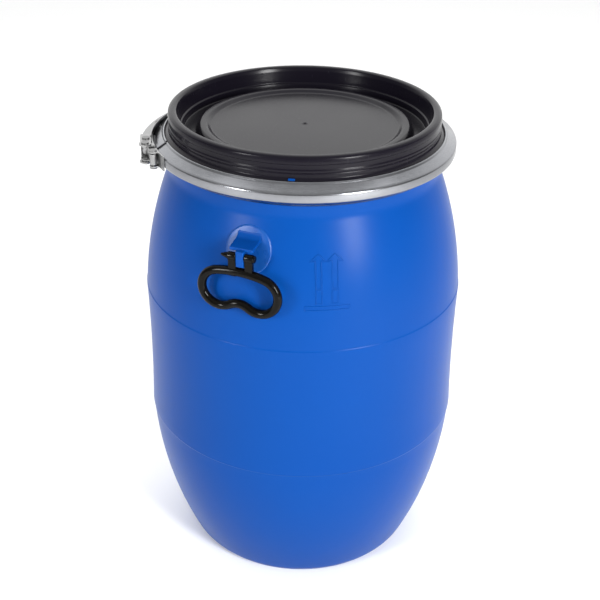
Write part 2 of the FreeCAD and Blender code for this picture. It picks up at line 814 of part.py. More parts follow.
# ---------------------------------------------------------------- handles
ARCH_SIN = "(loop_spread / (loop_arch - loop_round))"
DIP_SIN = "(loop_spread / (loop_round + grip_dip))"
ARCH_COS = f"sqrt(1 - {ARCH_SIN}^2)"
DIP_COS = f"sqrt(1 - {DIP_SIN}^2)"


def handle(name, half_turns):
    """A drop handle: a bean-shaped loop of round bar with two bored ears, moulded in one."""
    body = doc.addObject("PartDesign::Body", name + "_loop")
    path = new_sketch(body, name + "_path", "XZ_Plane")
    arch_x = f"(loop_spread + loop_round * {ARCH_SIN})"
    arch_z = f"(loop_round * {ARCH_COS} - loop_middle)"
    dip_x = f"(loop_spread - loop_round * {DIP_SIN})"
    dip_z = f"(0 - loop_middle - loop_round * {DIP_COS})"
    outline(
        path,
        [
            (f"0 - {arch_x}", arch_z),
            (arch_x, arch_z),
            ("loop_spread + loop_round", "0 - loop_middle"),
            (dip_x, dip_z),
            (f"0 - {dip_x}", dip_z),
            ("0 - loop_spread - loop_round", "0 - loop_middle"),
        ],
        {
            0: ("loop_arch", -1),
            1: ("loop_round", -1),
            2: ("loop_round", -1),
            3: ("grip_dip", 1),
            4: ("loop_round", -1),
            5: ("loop_round", -1),
        },
    )
    top = f"({arch_z} + loop_arch * (1 - {ARCH_COS}))"
    section = new_sketch(body, name + "_section", "YZ_Plane")
    section.addGeometry(Part.Circle(Vector(0, size(top), 0), UP, size("bar_radius")))
    hold(section, "DistanceX", -2, (0, 3), "0")
    hold(section, "DistanceY", -1, (0, 3), top)
    index = section.addConstraint(Sketcher.Constraint("Radius", 0, size("bar_radius")))
    section.setExpression(f"Constraints[{index}]", bound("bar_radius"))
    doc.recompute()
    pipe = body.newObject("PartDesign::AdditivePipe", name + "_pipe")
    pipe.Profile = section
    pipe.Spine = (path, [f"Edge{n}" for n in range(1, 7)])
    parts = [body]
    for side, start in (("left", "0 - ear_inner - ear_width"), ("right", "ear_inner")):
        end = f"{start} + ear_width"
        parts.append(
            block(
                f"{name}_{side}_ear",
                (start, "0 - ear_depth / 2", f"{top} - 1"),
                (end, "ear_depth / 2", "0"),
            )
        )
        parts.append(side_rod(f"{name}_{side}_eye", "eye_radius", start, end))
    bore = side_rod(
        name + "_bore",
        "pin_radius + running_gap",
        "0 - ear_inner - ear_width",
        "ear_inner + ear_width",
    )
    whole = cut(name, joined(name + "_solid", parts), bore)
    return stand_at_lug(whole, half_turns)


def stand_at_lug(piece, half_turns):
    """Moves a piece drawn about the pin axis to the front lug (0) or the rear lug (1)."""
    piece.Placement = Placement(ORIGIN, Rotation(UP, 180 * half_turns)) * piece.Placement
    reach = "handle_reach" if half_turns else "0 - handle_reach"
    return place(piece, y=reach, z="handle_height")


def handle_pin(name, half_turns):
    """The plastic snap pin: a pointed barb, a shank through ears and stem, and a flat head."""
    face = "(ear_inner + ear_width + 0.3)"
    piece = lathe(
        name,
        [
            ("0", f"0 - {face} - 8.8"),
            ("1", f"0 - {face} - 8.8"),
            ("pin_radius + 1.5", f"0 - {face}"),
            ("pin_radius", f"0 - {face}"),
            ("pin_radius", face),
            ("pin_radius + 1.5", face),
            ("pin_radius + 1.5", f"{face} + 2.2"),
            ("0", f"{face} + 2.2"),
        ],
    )
    piece.setExpression("Placement.Rotation.Angle", None)
    piece.Placement = Placement(ORIGIN, Rotation(Vector(0, 1, 0), 90))
    return stand_at_lug(piece, half_turns)


# ---------------------------------------------------------------- the whole drum
drum_body()
lid()
lid_seal()
closure()
for side, half_turns in (("front", 0), ("rear", 1)):
    node(handle(f"drop_{side}", half_turns), f"handle_{side}")
    node(handle_pin(f"snap_{side}", half_turns), f"handle_pin_{side}")
doc.recompute()

for item in doc.Objects:
    faults = {"Invalid", "Error"} & set(item.State)
    if faults:
        raise RuntimeError(f"{item.Name} did not build: {item.State}")
os.makedirs("parts", exist_ok=True)
for piece in NODES:
    if piece.Shape.isNull() or not piece.Shape.isValid():
        raise RuntimeError(f"{piece.Label} has no valid shape")
    piece.Shape.exportStep(f"parts/{piece.Label}.step")
    box = piece.Shape.BoundBox
    print(
        f"{piece.Label:20s} solids {len(piece.Shape.Solids)} volume {piece.Shape.Volume:12.1f}"
        f" x {box.XMin:.1f} {box.XMax:.1f} y {box.YMin:.1f} {box.YMax:.1f}"
        f" z {box.ZMin:.1f} {box.ZMax:.1f}"
    )
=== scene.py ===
import math

import bmesh
import bpy
from mathutils import Matrix, Vector


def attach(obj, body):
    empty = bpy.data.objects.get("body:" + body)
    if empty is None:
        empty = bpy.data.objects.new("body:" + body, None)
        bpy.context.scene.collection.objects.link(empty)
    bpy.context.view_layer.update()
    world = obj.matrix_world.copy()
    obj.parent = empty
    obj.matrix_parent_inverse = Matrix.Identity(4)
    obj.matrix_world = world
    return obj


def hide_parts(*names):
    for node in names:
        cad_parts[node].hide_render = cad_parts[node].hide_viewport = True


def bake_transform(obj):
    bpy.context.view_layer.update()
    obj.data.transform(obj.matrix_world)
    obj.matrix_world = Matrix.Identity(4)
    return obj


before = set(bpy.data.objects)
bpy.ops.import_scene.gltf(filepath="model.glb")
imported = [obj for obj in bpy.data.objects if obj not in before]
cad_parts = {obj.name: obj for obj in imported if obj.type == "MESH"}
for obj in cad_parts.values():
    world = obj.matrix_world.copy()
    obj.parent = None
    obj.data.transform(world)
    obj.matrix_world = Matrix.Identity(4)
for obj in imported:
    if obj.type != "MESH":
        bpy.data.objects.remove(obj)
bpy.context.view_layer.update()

# ---------------------------------------------------------------- studio
# The drum stands on a seamless pale floor, between two tall softboxes and under a large overhead
# one, with a slightly long lens looking down on it from the front and a little to the right.
mm = 0.001
scene = bpy.context.scene
AIM = Vector((0, 0, 0.330))
CAMERA_TURN = math.radians(20)
CAMERA_RISE = 0.51285
CAMERA_DISTANCE = 1.435
CAMERA_ROLL = 0.01333
FRAME_WIDTH = 600
FOCAL_LENGTH = 1097.44
SENSOR_WIDTH = 36

camera_data = bpy.data.cameras.new("camera")
camera_data.sensor_width = SENSOR_WIDTH
camera_data.lens = SENSOR_WIDTH * FOCAL_LENGTH / FRAME_WIDTH
camera_data.shift_x = -2.52 / FRAME_WIDTH
camera_data.shift_y = 0.84 / FRAME_WIDTH
camera = bpy.data.objects.new("camera", camera_data)
scene.collection.objects.link(camera)
back = Vector(
    (
        math.sin(CAMERA_TURN) * math.cos(CAMERA_RISE),
        -math.cos(CAMERA_TURN) * math.cos(CAMERA_RISE),
        math.sin(CAMERA_RISE),
    )
)
camera.location = AIM + back * CAMERA_DISTANCE
camera.rotation_mode = "QUATERNION"
level = (-back).to_track_quat("-Z", "Y")
camera.rotation_quaternion = level @ Matrix.Rotation(CAMERA_ROLL, 3, "Z").to_quaternion()
scene.camera = camera


def new_object(name, data):
    made = bpy.data.objects.new(name, data)
    scene.collection.objects.link(made)
    return made


def mesh_of(name, points, edges=(), faces=()):
    """A mesh object from points in metres."""
    mesh = bpy.data.meshes.new(name)
    mesh.from_pydata(points, edges, faces)
    mesh.update()
    return new_object(name, mesh)


def softbox(name, place, aim, width, height, power):
    """A rectangular lamp that faces aim; places and sizes in metres, power in watts."""
    light = bpy.data.lights.new(name, "AREA")
    light.shape = "RECTANGLE"
    light.size = width
    light.size_y = height
    light.energy = power
    lamp = new_object(name, light)
    lamp.location = place
    lamp.rotation_mode = "QUATERNION"
    lamp.rotation_quaternion = (Vector(aim) - Vector(place)).to_track_quat("-Z", "Y")


softbox("softbox_left", (-1.05, -2.03, 1.15), (0, 0, 0.40), 0.36, 0.95, 32)
softbox("softbox_right", (1.92, -1.24, 1.12), (0, 0, 0.40), 0.50, 1.10, 76)
softbox("softbox_top", (-0.35, 0.95, 2.7), (0, 0.2, 0.0), 2.8, 1.6, 15)
scene.view_settings.view_transform = "Standard"

# The air is bright behind the drum, dim in front of it and brighter overhead.
AIR_IN_FRONT = 0.16
AIR_BEHIND = 1.45
AIR_OVERHEAD = 0.55
world = bpy.data.worlds.new("studio_air")
world.use_nodes = True
air_nodes, air_links = world.node_tree.nodes, world.node_tree.links
heading = air_nodes.new("ShaderNodeTexCoord")
behind = air_nodes.new("ShaderNodeVectorMath")
behind.operation = "DOT_PRODUCT"
behind.inputs[1].default_value = (-math.sin(CAMERA_TURN), math.cos(CAMERA_TURN), 0)
backdrop = air_nodes.new("ShaderNodeMapRange")
backdrop.interpolation_type = "SMOOTHSTEP"
for title, value in (
    ("From Min", 0.05),
    ("From Max", 0.85),
    ("To Min", AIR_IN_FRONT),
    ("To Max", AIR_BEHIND),
):
    backdrop.inputs[title].default_value = value
rise = air_nodes.new("ShaderNodeSeparateXYZ")
ceiling = air_nodes.new("ShaderNodeMath")
ceiling.operation = "MULTIPLY_ADD"
ceiling.inputs[1].default_value = AIR_OVERHEAD
air_links.new(heading.outputs["Generated"], behind.inputs[0])
air_links.new(behind.outputs["Value"], backdrop.inputs["Value"])
air_links.new(heading.outputs["Generated"], rise.inputs["Vector"])
air_links.new(rise.outputs["Z"], ceiling.inputs[0])
air_links.new(backdrop.outputs["Result"], ceiling.inputs[2])
# The lens itself sees plain white air all round; only the light that falls on the drum is shaped.
seen_straight = air_nodes.new("ShaderNodeLightPath")
air = air_nodes.new("ShaderNodeMix")
air.inputs["B"].default_value = 1.0
air_links.new(seen_straight.outputs["Is Camera Ray"], air.inputs["Factor"])
air_links.new(ceiling.outputs["Value"], air.inputs["A"])
air_links.new(air.outputs["Result"], air_nodes["Background"].inputs["Strength"])
air_nodes["Background"].inputs["Color"].default_value = (1, 1, 1, 1)
scene.world = world

FLOOR_REACH = 25
floor = mesh_of(
    "floor",
    [(x * FLOOR_REACH, y * FLOOR_REACH, 0) for x, y in ((-1, -1), (1, -1), (1, 1), (-1, 1))],
    faces=[(0, 1, 2, 3)],
)


def new_material(name, colour, roughness, metallic=0.0):
    """A node material and the parts of it that a finish is built on."""
    made = bpy.data.materials.new(name)
    made.use_nodes = True
    nodes, links = made.node_tree.nodes, made.node_tree.links
    shader = nodes["Principled BSDF"]
    shader.inputs["Base Color"].default_value = (*colour, 1)
    shader.inputs["Roughness"].default_value = roughness
    shader.inputs["Metallic"].default_value = metallic
    return made, nodes, links, shader


floor_paint, _, _, _ = new_material("floor_paint", (0.98, 0.98, 0.98), 0.7)
floor.data.materials.append(floor_paint)

# ---------------------------------------------------------------- shell
# The drum's body: one hollow blow moulding in blue high density polyethylene, with a push-up base,
# a barrel belly, a middle band edged by two small steps, a shoulder, a neck and a flange.
FLANGE_RADIUS = 179.9
NECK_RADIUS = 164.5
SHOULDER_LOW = (198.3, 375.6)
SHOULDER_HIGH = (166.2, 521.0)
SHOULDER_CURVE = 480.0
BELLY_LOW = (153.6, 7.5)
BELLY_HIGH = (199.2, 198.0)
BAND_LOW = (200.0, 199.2)
BAND_HIGH = (199.0, 374.4)


def arc(start, end, radius, turn, pieces):
    """Points along the shorter arc from start to end, both ends left out."""
    (ax, ay), (bx, by) = start, end
    chord = math.hypot(bx - ax, by - ay)
    rise = math.sqrt(max(radius**2 - chord**2 / 4, 0)) * turn
    cx = (ax + bx) / 2 - (by - ay) / chord * rise
    cy = (ay + by) / 2 + (bx - ax) / chord * rise
    first = math.atan2(ay - cy, ax - cx)
    sweep = 2 * math.asin(chord / 2 / radius) * turn
    angles = [first + sweep * n / pieces for n in range(1, pieces)]
    return [(cx + radius * math.cos(a), cy + radius * math.sin(a)) for a in angles]


def stack(piece, kind, name, **values):
    """Adds a modifier to a piece's stack."""
    made = piece.modifiers.new(name, kind)
    for key, value in values.items():
        setattr(made, key, value)
    return made


def turned(name, profile, steps=256, angle=math.tau, closed=True):
    """Turns a profile of (radius, height, rounding) in millimetres about Z."""
    points = [(row[0] * mm, 0, row[1] * mm) for row in profile]
    count = len(points)
    edges = [(n, n + 1) for n in range(count - 1)]
    if closed:
        edges.append((count - 1, 0))
    piece = mesh_of(name, points, edges)
    widest = max(row[2] if len(row) > 2 else 0 for row in profile)
    if widest:
        weight = piece.data.attributes.new("bevel_weight_vert", "FLOAT", "POINT")
        weights = [(row[2] if len(row) > 2 else 0) / widest for row in profile]
        weight.data.foreach_set("value", weights)
        stack(
            piece,
            "BEVEL",
            "roundings",
            affect="VERTICES",
            limit_method="WEIGHT",
            offset_type="OFFSET",
            width=widest * mm,
            segments=4,
            use_clamp_overlap=True,
        )
    stack(
        piece,
        "SCREW",
        "turning",
        axis="Z",
        angle=angle,
        steps=steps,
        render_steps=steps,
        use_smooth_shade=True,
        use_normal_calculate=True,
        use_merge_vertices=True,
        merge_threshold=1e-6,
    )
    return piece


outside = [
    (0, 4, 0),
    (124, 4, 1.5),
    (128, 0, 1.5),
    (146.5, 0, 3),
    (*BELLY_LOW, 4),
    *arc(BELLY_LOW, BELLY_HIGH, 530, 1, 18),
    (*BELLY_HIGH, 0.5),
    (*BAND_LOW, 0.5),
    *arc(BAND_LOW, BAND_HIGH, 2250, -1, 12),
    (*BAND_HIGH, 0.5),
    (*SHOULDER_LOW, 0.5),
    *arc(SHOULDER_LOW, SHOULDER_HIGH, SHOULDER_CURVE, 1, 16),
    (*SHOULDER_HIGH, 1),
    *arc(SHOULDER_HIGH, (NECK_RADIUS, 530), 24.7, -1, 3),
    (NECK_RADIUS, 530, 1),
    (NECK_RADIUS, 542.4, 2),
    (FLANGE_RADIUS, 551.5, 0.6),
    (FLANGE_RADIUS, 555.6, 0.6),
    (170.3, 555.6, 0.5),
    (169.8, 558.8, 0.6),
    (166.8, 558.8, 0.6),
    (166.3, 555.6, 0.5),
    (161.3, 555.6, 0.8),
]
inside = [
    (161.3, 530, 1),
    *arc((161.3, 530), (163.2, 519.8), 27.9, 1, 3),
    *arc((163.2, 519.8), (195.1, 374.5), 476.8, -1, 16),
    (195.1, 374.5, 1),
    (196.3, 199.5, 1),
    *arc((196.3, 199.5), (151, 12), 526.8, -1, 18),
    (151, 12, 3),
    (145, 7.5, 2),
    (0, 7.5, 0),
]
shell = turned("drum_shell", list(reversed(outside + inside)), closed=False)

moulded_skin = bpy.data.node_groups.new("moulded_skin", "ShaderNodeTree")
for title, kind, value in (
    ("Vector", "NodeSocketVector", None),
    ("Grain Scale", "NodeSocketFloat", 900.0),
    ("Wave Scale", "NodeSocketFloat", 9.0),
    ("Wave Height", "NodeSocketFloat", 1.0),
    ("Roughness", "NodeSocketFloat", 0.35),
    ("Unevenness", "NodeSocketFloat", 0.08),
):
    plug = moulded_skin.interface.new_socket(title, in_out="INPUT", socket_type=kind)
    if value is not None:
        plug.default_value = value
for title in ("Height", "Roughness", "Cloud", "Scratch"):
    moulded_skin.interface.new_socket(title, in_out="OUTPUT", socket_type="NodeSocketFloat")


def add(nodes, kind, **values):
    """A node with its settings; sockets gives the values of its inputs by name."""
    made = nodes.new(kind)
    for key, value in values.items():
        if key == "sockets":
            for socket, number in value.items():
                made.inputs[socket].default_value = number
        else:
            setattr(made, key, value)
    return made


def sums(nodes, links, operation, first, second, clamp=False):
    """A maths node fed by sockets or numbers; gives its output socket."""
    made = add(nodes, "ShaderNodeMath", operation=operation, use_clamp=clamp)
    for plug, feed in zip(made.inputs, (first, second)):
        if isinstance(feed, (int, float)):
            plug.default_value = feed
        else:
            links.new(feed, plug)
    return made.outputs[0]


nodes, links = moulded_skin.nodes, moulded_skin.links
way_in, way_out = add(nodes, "NodeGroupInput"), add(nodes, "NodeGroupOutput")
grain = add(nodes, "ShaderNodeTexNoise", sockets={"Detail": 3.0, "Roughness": 0.6})
wave = add(nodes, "ShaderNodeTexNoise", sockets={"Detail": 2.0, "Roughness": 0.4})
stretch = add(nodes, "ShaderNodeMapping", sockets={"Scale": (1.0, 1.0, 0.06)})
scratch = add(nodes, "ShaderNodeTexNoise", sockets={"Scale": 520.0, "Detail": 4.0})
scratch_ramp = add(nodes, "ShaderNodeMapRange", sockets={"From Min": 0.66, "From Max": 0.74})
for texture in (grain, wave, stretch):
    links.new(way_in.outputs["Vector"], texture.inputs["Vector"])
links.new(stretch.outputs["Vector"], scratch.inputs["Vector"])
links.new(way_in.outputs["Grain Scale"], grain.inputs["Scale"])
links.new(way_in.outputs["Wave Scale"], wave.inputs["Scale"])
links.new(scratch.outputs["Fac"], scratch_ramp.inputs["Value"])
swell = sums(nodes, links, "MULTIPLY", wave.outputs["Fac"], way_in.outputs["Wave Height"])
fine = sums(nodes, links, "MULTIPLY", grain.outputs["Fac"], 0.012)
links.new(sums(nodes, links, "ADD", swell, fine), way_out.inputs["Height"])
drift = sums(nodes, links, "SUBTRACT", wave.outputs["Fac"], 0.5)
drift = sums(nodes, links, "MULTIPLY", drift, way_in.outputs["Unevenness"])
level_rough = sums(nodes, links, "ADD", drift, way_in.outputs["Roughness"])
scuffed = sums(nodes, links, "MULTIPLY", scratch_ramp.outputs["Result"], 0.10)
links.new(sums(nodes, links, "ADD", level_rough, scuffed), way_out.inputs["Roughness"])
links.new(wave.outputs["Fac"], way_out.inputs["Cloud"])
links.new(scratch_ramp.outputs["Result"], way_out.inputs["Scratch"])


def moulded_plastic(
    name, deep, pale, roughness, unevenness, bump, grain_scale, wave_scale, gleam
):
    """Moulded plastic: colour that drifts a little between deep and pale (on the boss the pale is
    a painted sheen), faint rubbing and a slightly uneven skin.
    """
    made, nodes, links, shader = new_material(name, deep, roughness)
    shader.inputs["Specular IOR Level"].default_value = gleam
    where = add(nodes, "ShaderNodeTexCoord")
    skin = add(nodes, "ShaderNodeGroup", node_tree=moulded_skin)
    skin.inputs["Grain Scale"].default_value = grain_scale
    skin.inputs["Wave Scale"].default_value = wave_scale
    skin.inputs["Wave Height"].default_value = 0.05
    skin.inputs["Roughness"].default_value = roughness
    skin.inputs["Unevenness"].default_value = unevenness
    links.new(where.outputs["Object"], skin.inputs["Vector"])
    tone = add(nodes, "ShaderNodeMix", data_type="RGBA")
    tone.inputs["A"].default_value = (*deep, 1)
    tone.inputs["B"].default_value = (*pale, 1)
    rubbed = sums(nodes, links, "MULTIPLY", skin.outputs["Scratch"], 0.35)
    clouded = sums(nodes, links, "MULTIPLY", skin.outputs["Cloud"], 0.5)
    share = sums(nodes, links, "ADD", rubbed, clouded)
    links.new(share, tone.inputs["Factor"])
    links.new(tone.outputs["Result"], shader.inputs["Base Color"])
    links.new(skin.outputs["Roughness"], shader.inputs["Roughness"])
    relief = add(nodes, "ShaderNodeBump", sockets={"Strength": bump, "Distance": 0.001})
    links.new(skin.outputs["Height"], relief.inputs["Height"])
    links.new(relief.outputs["Normal"], shader.inputs["Normal"])
    return made


blue_plastic = moulded_plastic(
    "blue_polyethylene",
    deep=(0.001, 0.046, 0.240),
    pale=(0.002, 0.054, 0.258),
    roughness=0.30,
    unevenness=0.06,
    bump=0.35,
    grain_scale=900,
    wave_scale=7,
    gleam=0.07,
)
shell.data.materials.append(blue_plastic)
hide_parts("drum_body")
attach(shell, "drum")


# ---------------------------------------------------------------- marks on the shoulder
# Moulded with the shell: the upright-transport symbol to the right of the handle, as thin raised
# lines, and a flat round boss behind each handle lug.
def shoulder_radius(height):
    """The shoulder's outer radius at a height, in millimetres."""
    (ax, ay), (bx, by) = SHOULDER_LOW, SHOULDER_HIGH
    chord = math.hypot(bx - ax, by - ay)
    rise = math.sqrt(SHOULDER_CURVE**2 - chord**2 / 4)
    cx = (ax + bx) / 2 - (by - ay) / chord * rise
    cy = (ay + by) / 2 + (bx - ax) / chord * rise
    return cx + math.sqrt(SHOULDER_CURVE**2 - (height - cy) ** 2)


def on_shoulder(bearing, across, height, proud):
    """A place on the shoulder, across millimetres round from a bearing and proud of the skin."""
    radius = shoulder_radius(height)
    angle = math.radians(bearing) + across / radius
    reach = radius + proud
    return Vector((math.sin(angle) * reach, -math.cos(angle) * reach, height)) * mm


MARK_BEARING = 28.3
MARK_TOP = 488.0


def raised_lines(name, outlines, width, proud):
    """Closed outlines of (across, height) drawn on the shoulder as rounded raised lines."""
    curve = bpy.data.curves.new(name, "CURVE")
    curve.dimensions = "3D"
    curve.bevel_depth = width / 2 * mm
    curve.bevel_resolution = 3
    for outline in outlines:
        dense = []
        for number, (x, z) in enumerate(outline):
            nx, nz = outline[(number + 1) % len(outline)]
            cuts = max(1, round(math.hypot(nx - x, nz - z) / 4))
            dense += [(x + (nx - x) * n / cuts, z + (nz - z) * n / cuts) for n in range(cuts)]
        line = curve.splines.new("POLY")
        line.points.add(len(dense) - 1)
        line.use_cyclic_u = True
        for point, (x, z) in zip(line.points, dense):
            point.co = (*on_shoulder(MARK_BEARING, x, z, proud), 1)
    return new_object(name, curve)


# Each outline is in (across, below the arrow tips): an arrow and its foot, twice, and the bar.
arrow = [(0, 0), (-9.6, 8.4), (-3.2, 7.2), (-3.2, 38), (3.2, 38), (3.2, 7.2), (9.6, 8.4)]
arrow_foot = [(-3.4, 40), (-3.4, 55), (3.4, 55), (3.4, 40)]
ground_bar = [(-25.5, 58), (-25.5, 62.5), (25.5, 62.5), (25.5, 58)]
ARROW_APART = 9.3
symbol = [
    [(side + x, MARK_TOP - z) for x, z in outline]
    for outline, sides in (
        (arrow, (-ARROW_APART, ARROW_APART)),
        (arrow_foot, (-ARROW_APART, ARROW_APART)),
        (ground_bar, (0,)),
    )
    for side in sides
]
transport_mark = raised_lines("transport_mark", symbol, width=1.7, proud=-0.25)
transport_mark.data.materials.append(blue_plastic)
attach(transport_mark, "drum")

BOSS_HEIGHT = 487.5
BOSS_PROUD = 1.0
BOSS_SPOKES = 64
SHOULDER_THERE = 190
boss_rings = (
    (8, BOSS_PROUD),
    (16, BOSS_PROUD),
    (22, BOSS_PROUD),
    (25.6, BOSS_PROUD),
    (26.5, 0.85),
    (27.1, 0.1),
    (28, -0.35),
)
boss_points, boss_faces = [on_shoulder(0, 0, BOSS_HEIGHT, BOSS_PROUD)], []
for ring, (radius, proud) in enumerate(boss_rings):
    for spoke in range(BOSS_SPOKES):
        turn = math.tau * spoke / BOSS_SPOKES
        across, up = radius * math.cos(turn), radius * math.sin(turn)
        flatter = across**2 / 2 / SHOULDER_THERE * 0.35 if proud > 0.5 else 0
        boss_points.append(on_shoulder(0, across, BOSS_HEIGHT + up, proud + flatter))
        first = 1 + ring * BOSS_SPOKES + spoke
        after = 1 + ring * BOSS_SPOKES + (spoke + 1) % BOSS_SPOKES
        if ring == 0:
            boss_faces.append((0, first, after))
        else:
            boss_faces.append((first - BOSS_SPOKES, first, after, after - BOSS_SPOKES))
lug_boss = mesh_of("lug_boss", boss_points, faces=boss_faces)
lug_boss.data.shade_smooth()
stack(lug_boss, "MIRROR", "front_and_rear", use_axis=(False, True, False), merge_threshold=1e-6)
# The boss's pale colour, much lighter than the shell's and laid on in blotches, is a painted
# sheen: it stands in for the light that the boss's flatter face catches.
boss_blue_and_painted_sheen = moulded_plastic(
    "boss_blue_and_painted_sheen",
    deep=(0.001, 0.045, 0.240),
    pale=(0.012, 0.10, 0.34),
    roughness=0.30,
    unevenness=0.25,
    bump=0.8,
    grain_scale=600,
    wave_scale=75,
    gleam=0.25,
)
lug_boss.data.materials.append(boss_blue_and_painted_sheen)
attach(lug_boss, "drum")


# ---------------------------------------------------------------- handle lugs and locating tab
# Each lug is moulded on the shoulder: a sloping shelf that shields the pin, and an upright stem
# under it that the pin goes through. The tab on the rim keeps the lid from turning.
def softened(piece, width):
    """Rounds a piece's sharp edges by a width in millimetres."""
    piece.data.shade_smooth()
    stack(
        piece,
        "BEVEL",
        "soft_edges",
        width=width * mm,
        segments=3,
        limit_method="ANGLE",
        angle_limit=math.radians(25),
        harden_normals=True,
    )


SHELF_BACK = (-182.5, 500.8)
SHELF_ROOT = (-172.2, 507.7)
shelf_profile = [
    (-197.8, 494.5),
    (-197.8, 498.5),
    SHELF_BACK,
    *arc(SHELF_BACK, SHELF_ROOT, 10, 1, 6),
    SHELF_ROOT,
    (-169.6, 507.7),
    (-172.8, 498.5),
]
stem_profile = [(-203.0, 477.6), (-203.0, 496.5), (-173.4, 496.5), (-179.2, 477.6)]
tab_profile = [(-165.3, 553.0), (-165.3, 572.0), (-163.5, 572.0), (-163.5, 553.0)]
TAB_BEARING = 15.3


def slab(name, profile, half):
    """A flat-sided piece from its side view in (depth, height), half wide to either side."""
    count = len(profile)
    points = [(x * mm, y * mm, z * mm) for x in (-half, half) for y, z in profile]
    faces = [tuple(range(count)), tuple(reversed(range(count, 2 * count)))]
    faces += [(count + n, count + (n + 1) % count, (n + 1) % count, n) for n in range(count)]
    return mesh_of(name, points, faces=faces)


lug_shelf = slab("lug_shelf", shelf_profile, half=14.2)
lug_stem = slab("lug_stem", stem_profile, half=4.6)
locating_tab = slab("locating_tab", tab_profile, half=3.8)
locating_tab.data.transform(Matrix.Rotation(math.radians(TAB_BEARING), 4, "Z"))
for piece, width in ((lug_shelf, 1.2), (lug_stem, 1.1), (locating_tab, 0.5)):
    softened(piece, width)
    piece.data.materials.append(blue_plastic)
for piece in (lug_shelf, lug_stem):
    stack(piece, "MIRROR", "front_and_rear", use_axis=(False, True, False), merge_threshold=1e-6)
for piece in (lug_shelf, lug_stem, locating_tab):
    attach(piece, "drum")

# ---------------------------------------------------------------- lid
# Injection moulded in black polyethylene: a flange under the clamp band, a tall stacking collar
# with soft ribs outside, a groove for the heel of the drum above, and a raised middle panel.
lid_profile = [
    (0, 573.3, 0),
    (1.5, 573.4, 0.3),
    (2.1, 574.35, 0.3),
    (3.0, 574.35, 0.3),
    (3.7, 574.0, 0.3),
    (6.0, 574.0, 0),
    (60.0, 574.0, 0),
    (109.0, 574.0, 0),
    (112.5, 574.0, 1.5),
    (117.0, 577.0, 1.5),
    (119.5, 577.4, 1.0),
    (124.5, 577.4, 1.2),
    (127.4, 575.2, 1.0),
    (129.6, 567.0, 2.0),
    (133.0, 567.0, 0),
    (142.6, 567.0, 0),
    (146.0, 567.0, 2.0),
    (147.2, 574.9, 0.6),
    (149.2, 575.6, 0.6),
    (149.4, 577.4, 0),
    (151.0, 589.6, 0),
    (151.2, 591.0, 0.6),
    (152.6, 595.2, 1.2),
    (155.0, 596.2, 1.2),
    (159.2, 596.2, 1.6),
    (162.3, 594.2, 1.6),
    (162.8, 590.2, 0.8),
    (162.8, 587.3, 0.3),
    (162.2, 586.7, 0.3),
    (162.2, 581.4, 0.8),
    (162.8, 580.4, 0.8),
    (162.8, 577.9, 0.5),
    (162.3, 577.2, 0.4),
    (162.8, 576.4, 0.4),
    (162.8, 573.4, 0),
    (162.8, 571.2, 1.2),
    (165.4, 569.6, 0),
    (178.6, 561.1, 0),
    (FLANGE_RADIUS, 560.3, 0.6),
    (FLANGE_RADIUS, 556.2, 0.5),
    (173.0, 556.2, 0.5),
    (171.1, 558.8, 0.5),
    (171.1, 563.0, 0.3),
    (165.5, 563.0, 0.3),
    (165.5, 558.8, 0.5),
    (164.9, 556.6, 0.5),
    (160.6, 556.6, 0.5),
    (160.6, 546.0, 0.8),
    (157.9, 546.0, 0.8),
    (157.9, 561.0, 1.0),
    (159.3, 567.0, 1.0),
    (159.3, 592.6, 1.0),
    (155.2, 592.6, 1.0),
    (152.8, 574.5, 1.0),
    (149.5, 563.6, 1.5),
    (126.3, 563.6, 1.5),
    (124.0, 570.6, 1.5),
    (0, 570.6, 0),
]
lid = turned("lid_moulding", lid_profile, closed=False)
black_lid = moulded_plastic(
    "black_polyethylene",
    deep=(0.004, 0.0033, 0.006),
    pale=(0.009, 0.0075, 0.0135),
    roughness=0.22,
    unevenness=0.12,
    bump=0.25,
    grain_scale=1100,
    wave_scale=12,
    gleam=0.13,
)
lid.data.materials.append(black_lid)
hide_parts("lid")
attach(lid, "lid_unit")

# The seal is a square ring of closed cell foam rubber, laid in the lid's channel.
seal = turned(
    "foam_seal",
    [(165.8, 562.8, 0.6), (170.8, 562.8, 0.6), (170.8, 558.95, 0.9), (165.8, 558.95, 0.9)],
    steps=192,
)
foam, foam_nodes, foam_links, foam_shader = new_material("foam_rubber", (0.02, 0.02, 0.02), 0.85)
pores = add(foam_nodes, "ShaderNodeTexVoronoi", sockets={"Scale": 1400.0})
foam_where = add(foam_nodes, "ShaderNodeTexCoord")
pore_relief = add(foam_nodes, "ShaderNodeBump", sockets={"Strength": 0.5, "Distance": 0.0004})
foam_links.new(foam_where.outputs["Object"], pores.inputs["Vector"])
foam_links.new(pores.outputs["Distance"], pore_relief.inputs["Height"])
foam_links.new(pore_relief.outputs["Normal"], foam_shader.inputs["Normal"])
seal.data.materials.append(foam)
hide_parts("lid_seal")
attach(seal, "lid_unit")

# ---------------------------------------------------------------- clamp band
# A strip of galvanised steel rolled to a flat-bottomed V and bent round into a hoop, split at the
# front left. Its flanks wedge the two flanges together when the lever pulls it tight.
MIDDLE = 556.0
CREST = 181.9
LIP = 167.6
SPLIT_BEARING = -51.0
SPLIT_ANGLE = 1.0
STEEL = 1.2
SLOPE = 8.5 / (CREST - LIP)


